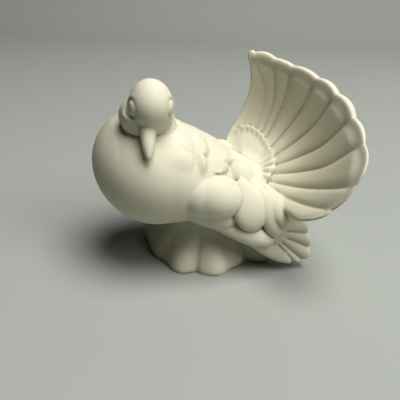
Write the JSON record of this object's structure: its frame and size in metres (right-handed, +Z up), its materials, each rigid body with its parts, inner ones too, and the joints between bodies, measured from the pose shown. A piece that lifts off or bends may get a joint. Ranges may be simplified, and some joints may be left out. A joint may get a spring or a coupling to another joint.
{
  "type": "dove statue",
  "caption": "Unpainted bisque dove figurine with puffed breast, turned head, drooping wings and a raised scalloped fan tail, cast in one with a small lobed mound.",
  "frame": {"origin": "on the flat underside of the mound, near its middle, at the surface it stands on", "axes": "+X from the breast to the tail, +Z up; the bird heads to -X and turns its head to -Y"},
  "size_m": [0.1286, 0.0984, 0.1138],
  "materials": {
    "bisque": "unglazed matt bisque, creamy off-white"
  },
  "bodies": {
    "root": {"dove_statue": "bisque"}
  },
  "joints": []
}
